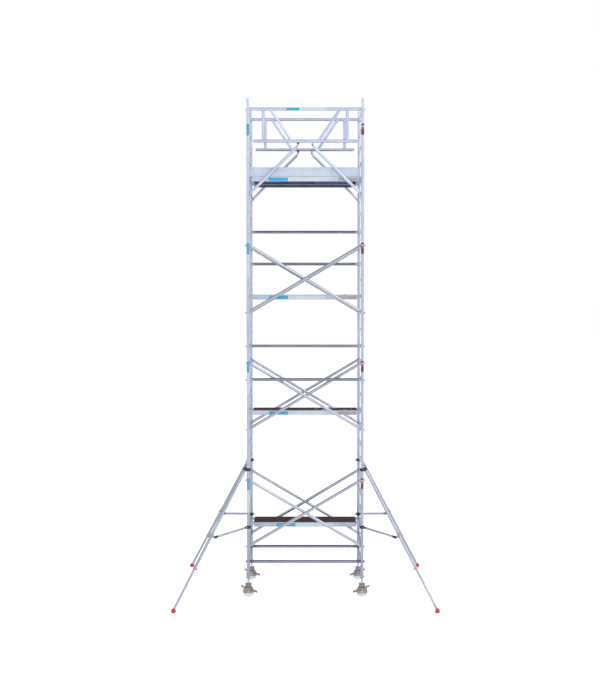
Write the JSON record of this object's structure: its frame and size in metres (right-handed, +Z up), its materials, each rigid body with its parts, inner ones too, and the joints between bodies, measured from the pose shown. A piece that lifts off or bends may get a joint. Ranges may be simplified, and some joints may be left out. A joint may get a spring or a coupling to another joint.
{
  "type": "mobile tower scaffold",
  "caption": "Tall mobile aluminium tower scaffold with ladder frames, crossed braces, hooked platforms, hinged hatches, guardrails, toe boards, castors and folding stabilisers.",
  "frame": {"origin": "on the floor under the middle of the tower", "axes": "+X along the platforms to the right, +Y across the tower away from the viewer, +Z up"},
  "size_m": [4.275, 3.515, 8.3097],
  "materials": {
    "aluminium": "mill finish extruded tube, satin",
    "brace_tube": "drawn tube, satin with long reflections",
    "deck_board": "phenolic film faced plywood with anti-slip pattern",
    "castor_grey": "grey coated pressed steel",
    "white_tyre": "pale polyamide wheel",
    "brake_red": "worn reddish grey pedal",
    "galvanised": "zinc plated steel",
    "black_coupler": "black coupler and hook latch",
    "red_rubber": "red rubber foot",
    "sticker": "plain coloured adhesive band without lettering"
  },
  "bodies": {
    "tower": {"frame_left_1": "aluminium", "frame_left_2": "aluminium", "frame_left_3": "aluminium", "frame_left_4": "aluminium", "frame_right_1": "aluminium", "frame_right_2": "aluminium", "frame_right_3": "aluminium", "frame_right_4": "aluminium", "cross_brace_near_1": "brace_tube", "cross_brace_near_2": "brace_tube", "cross_brace_near_3": "brace_tube", "cross_brace_far_1": "brace_tube", "cross_brace_far_2": "brace_tube", "cross_brace_far_3": "brace_tube", "base_rail_near": "brace_tube", "base_rail_far": "brace_tube", "guard_rail_near_low": "brace_tube", "guard_rail_near_high": "brace_tube", "guard_rail_far_low": "brace_tube", "guard_rail_far_high": "brace_tube", "platform_1": "deck_board", "platform_2": "deck_board", "platform_3": "deck_board", "platform_4_near": "deck_board", "platform_4_far": "deck_board", "toe_boards": "aluminium", "guardrail_near": "aluminium", "guardrail_far": "aluminium"},
    "hatch_2_body": {"hatch_2": "deck_board"},
    "hatch_3_body": {"hatch_3": "deck_board"},
    "hatch_4_body": {"hatch_4": "deck_board"},
    "leg_near_left": {"guardrail_leg_near_left": "aluminium"},
    "leg_near_right": {"guardrail_leg_near_right": "aluminium"},
    "leg_far_left": {"guardrail_leg_far_left": "aluminium"},
    "leg_far_right": {"guardrail_leg_far_right": "aluminium"},
    "spindle_near_left": {"castor_spindle_near_left": "galvanised"},
    "fork_near_left": {"castor_fork_near_left": "castor_grey"},
    "wheel_near_left": {"castor_wheel_near_left": "white_tyre"},
    "brake_near_left": {"castor_brake_near_left": "brake_red"},
    "spindle_near_right": {"castor_spindle_near_right": "galvanised"},
    "fork_near_right": {"castor_fork_near_right": "castor_grey"},
    "wheel_near_right": {"castor_wheel_near_right": "white_tyre"},
    "brake_near_right": {"castor_brake_near_right": "brake_red"},
    "spindle_far_left": {"castor_spindle_far_left": "galvanised"},
    "fork_far_left": {"castor_fork_far_left": "castor_grey"},
    "wheel_far_left": {"castor_wheel_far_left": "white_tyre"},
    "brake_far_left": {"castor_brake_far_left": "brake_red"},
    "spindle_far_right": {"castor_spindle_far_right": "galvanised"},
    "fork_far_right": {"castor_fork_far_right": "castor_grey"},
    "wheel_far_right": {"castor_wheel_far_right": "white_tyre"},
    "brake_far_right": {"castor_brake_far_right": "brake_red"},
    "stabiliser_near_left_body": {"stabiliser_near_left": "aluminium"},
    "stabiliser_near_left_leg": {"stabiliser_leg_near_left": "aluminium"},
    "stabiliser_near_right_body": {"stabiliser_near_right": "aluminium"},
    "stabiliser_near_right_leg": {"stabiliser_leg_near_right": "aluminium"},
    "stabiliser_far_left_body": {"stabiliser_far_left": "aluminium"},
    "stabiliser_far_left_leg": {"stabiliser_leg_far_left": "aluminium"},
    "stabiliser_far_right_body": {"stabiliser_far_right": "aluminium"},
    "stabiliser_far_right_leg": {"stabiliser_leg_far_right": "aluminium"}
  },
  "joints": [
    {"name": "hatch_2_hinge", "type": "hinge", "parent": "tower", "child": "hatch_2_body", "pos_m": [0.49, -0.229, 3.106], "axis": [1, 0, 0], "range_deg": [0, 85]},
    {"name": "hatch_3_hinge", "type": "hinge", "parent": "tower", "child": "hatch_3_body", "pos_m": [0.49, -0.229, 5.066], "axis": [1, 0, 0], "range_deg": [0, 85]},
    {"name": "hatch_4_hinge", "type": "hinge", "parent": "tower", "child": "hatch_4_body", "pos_m": [0.49, -0.51325, 7.026], "axis": [1, 0, 0], "range_deg": [0, 85]},
    {"name": "guardrail_leg_near_left_fold", "type": "hinge", "parent": "tower", "child": "leg_near_left", "pos_m": [-0.12, -0.599, 7.54], "axis": [0, -1, 0], "range_deg": [0, 44]},
    {"name": "guardrail_leg_near_right_fold", "type": "hinge", "parent": "tower", "child": "leg_near_right", "pos_m": [0.12, -0.599, 7.54], "axis": [0, 1, 0], "range_deg": [0, 44]},
    {"name": "guardrail_leg_far_left_fold", "type": "hinge", "parent": "tower", "child": "leg_far_left", "pos_m": [-0.12, 0.599, 7.54], "axis": [0, -1, 0], "range_deg": [0, 44]},
    {"name": "guardrail_leg_far_right_fold", "type": "hinge", "parent": "tower", "child": "leg_far_right", "pos_m": [0.12, 0.599, 7.54], "axis": [0, 1, 0], "range_deg": [0, 44]},
    {"name": "castor_height_near_left", "type": "slide", "parent": "tower", "child": "spindle_near_left", "axis": [0, 0, -1], "range_m": [0, 0.2]},
    {"name": "castor_swivel_near_left", "type": "hinge", "parent": "spindle_near_left", "child": "fork_near_left", "pos_m": [-0.95, -0.65, 0.22], "axis": [0, 0, 1], "continuous": true},
    {"name": "castor_roll_near_left", "type": "hinge", "parent": "fork_near_left", "child": "wheel_near_left", "pos_m": [-0.95, -0.65, 0.1], "axis": [0, 1, 0], "continuous": true},
    {"name": "castor_brake_near_left", "type": "hinge", "parent": "fork_near_left", "child": "brake_near_left", "pos_m": [-0.95, -0.65, 0.143], "axis": [0, 1, 0], "range_deg": [0, 18]},
    {"name": "castor_height_near_right", "type": "slide", "parent": "tower", "child": "spindle_near_right", "axis": [0, 0, -1], "range_m": [0, 0.2]},
    {"name": "castor_swivel_near_right", "type": "hinge", "parent": "spindle_near_right", "child": "fork_near_right", "pos_m": [0.95, -0.65, 0.22], "axis": [0, 0, 1], "continuous": true},
    {"name": "castor_roll_near_right", "type": "hinge", "parent": "fork_near_right", "child": "wheel_near_right", "pos_m": [0.95, -0.65, 0.1], "axis": [0, 1, 0], "continuous": true},
    {"name": "castor_brake_near_right", "type": "hinge", "parent": "fork_near_right", "child": "brake_near_right", "pos_m": [0.95, -0.65, 0.143], "axis": [0, -1, 0], "range_deg": [0, 18]},
    {"name": "castor_height_far_left", "type": "slide", "parent": "tower", "child": "spindle_far_left", "axis": [0, 0, -1], "range_m": [0, 0.2]},
    {"name": "castor_swivel_far_left", "type": "hinge", "parent": "spindle_far_left", "child": "fork_far_left", "pos_m": [-0.95, 0.65, 0.22], "axis": [0, 0, 1], "continuous": true},
    {"name": "castor_roll_far_left", "type": "hinge", "parent": "fork_far_left", "child": "wheel_far_left", "pos_m": [-0.95, 0.65, 0.1], "axis": [0, 1, 0], "continuous": true},
    {"name": "castor_brake_far_left", "type": "hinge", "parent": "fork_far_left", "child": "brake_far_left", "pos_m": [-0.95, 0.65, 0.143], "axis": [0, 1, 0], "range_deg": [0, 18]},
    {"name": "castor_height_far_right", "type": "slide", "parent": "tower", "child": "spindle_far_right", "axis": [0, 0, -1], "range_m": [0, 0.2]},
    {"name": "castor_swivel_far_right", "type": "hinge", "parent": "spindle_far_right", "child": "fork_far_right", "pos_m": [0.95, 0.65, 0.22], "axis": [0, 0, 1], "continuous": true},
    {"name": "castor_roll_far_right", "type": "hinge", "parent": "fork_far_right", "child": "wheel_far_right", "pos_m": [0.95, 0.65, 0.1], "axis": [0, 1, 0], "continuous": true},
    {"name": "castor_brake_far_right", "type": "hinge", "parent": "fork_far_right", "child": "brake_far_right", "pos_m": [0.95, 0.65, 0.143], "axis": [0, -1, 0], "range_deg": [0, 18]},
    {"name": "stabiliser_swing_near_left", "type": "hinge", "parent": "tower", "child": "stabiliser_near_left_body", "pos_m": [-0.95, -0.65, 2.144], "axis": [0, 0, 1], "range_deg": [-40, 40]},
    {"name": "stabiliser_length_near_left", "type": "slide", "parent": "stabiliser_near_left_body", "child": "stabiliser_near_left_leg", "axis": [0.4171, 0.4282, 0.8017], "range_m": [0, 0.4]},
    {"name": "stabiliser_swing_near_right", "type": "hinge", "parent": "tower", "child": "stabiliser_near_right_body", "pos_m": [0.95, -0.65, 2.144], "axis": [0, 0, 1], "range_deg": [-40, 40]},
    {"name": "stabiliser_length_near_right", "type": "slide", "parent": "stabiliser_near_right_body", "child": "stabiliser_near_right_leg", "axis": [-0.4171, 0.4282, 0.8017], "range_m": [0, 0.4]},
    {"name": "stabiliser_swing_far_left", "type": "hinge", "parent": "tower", "child": "stabiliser_far_left_body", "pos_m": [-0.95, 0.65, 2.144], "axis": [0, 0, 1], "range_deg": [-40, 40]},
    {"name": "stabiliser_length_far_left", "type": "slide", "parent": "stabiliser_far_left_body", "child": "stabiliser_far_left_leg", "axis": [0.4171, -0.4282, 0.8017], "range_m": [0, 0.4]},
    {"name": "stabiliser_swing_far_right", "type": "hinge", "parent": "tower", "child": "stabiliser_far_right_body", "pos_m": [0.95, 0.65, 2.144], "axis": [0, 0, 1], "range_deg": [-40, 40]},
    {"name": "stabiliser_length_far_right", "type": "slide", "parent": "stabiliser_far_right_body", "child": "stabiliser_far_right_leg", "axis": [-0.4171, -0.4282, 0.8017], "range_m": [0, 0.4]}
  ]
}
